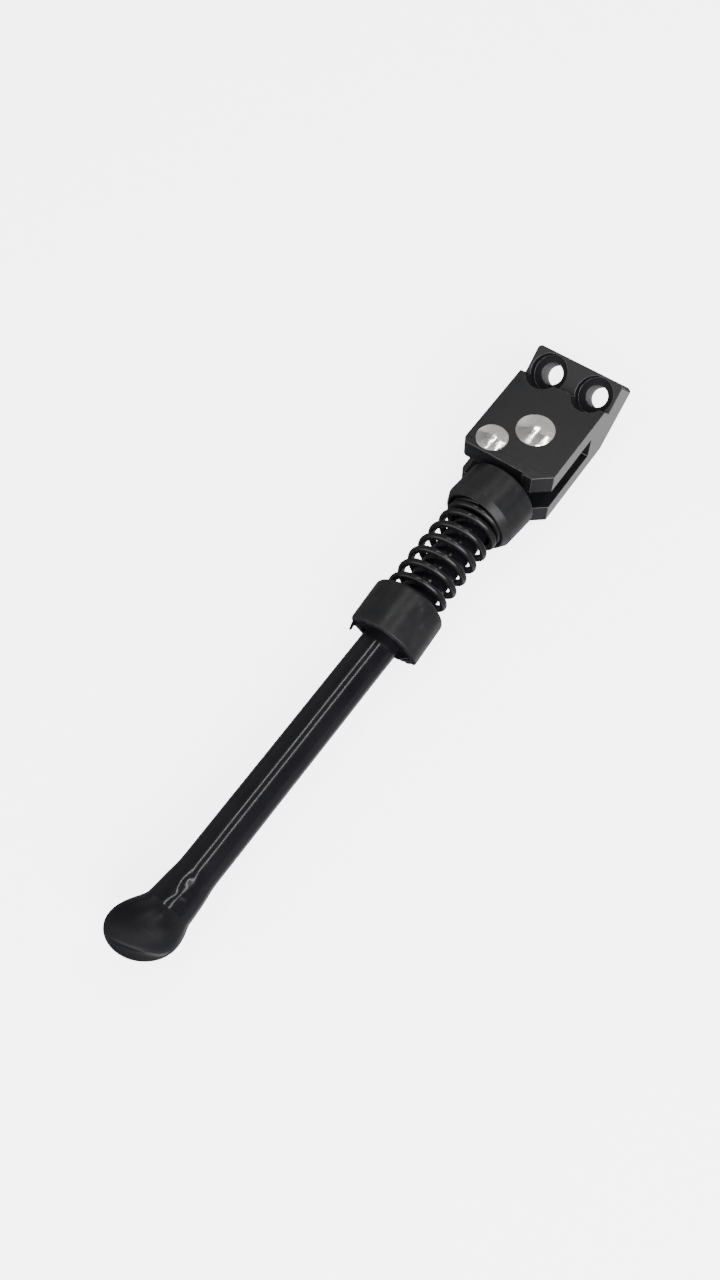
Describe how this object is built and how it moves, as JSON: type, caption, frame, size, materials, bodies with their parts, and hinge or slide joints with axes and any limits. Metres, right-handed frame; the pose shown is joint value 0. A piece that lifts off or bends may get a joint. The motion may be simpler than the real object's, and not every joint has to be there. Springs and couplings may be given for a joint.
{
  "type": "scooter kickstand",
  "caption": "Folding side stand for a scooter: slotted bracket with a tilted screw-on flange and a spring-loaded leg with a rounded foot.",
  "frame": {"origin": "on the tilted mounting face, midway between the two screw holes", "axes": "-Y along the leg from the bracket to the foot, +X the side the leg folds to, +Z square to the cheeks, out of the face with the open counterbores"},
  "size_m": [0.029, 0.2191, 0.024],
  "materials": {
    "black_bracket": "satin black, fine grained",
    "bright_rivet": "bright nickel, dented heads",
    "black_steel": "glossy black",
    "glossy_coat": "glossy dipped plastic",
    "black_cup": "satin moulded",
    "black_wire": "satin black wire",
    "plain_steel": "plain"
  },
  "bodies": {
    "bracket": {"bracket": "black_bracket", "pivot_rivet": "bright_rivet", "stop_rivet": "bright_rivet"},
    "leg": {"leg_rod": "black_steel", "leg_coating": "glossy_coat", "spring": "black_wire", "lower_cup": "black_cup", "cross_pin": "plain_steel"},
    "cup": {"upper_cup": "black_cup"}
  },
  "joints": [
    {"name": "leg_fold", "type": "hinge", "parent": "bracket", "child": "leg", "pos_m": [0.0012, -0.03117, 0.00191], "axis": [0, 0, 1], "range_deg": [0, 90]},
    {"name": "cup_slide", "type": "slide", "parent": "leg", "child": "cup", "axis": [0, -1, 0], "range_m": [0, 0.006], "stiffness_N_per_m": 3800, "deforming": ["spring"]}
  ]
}
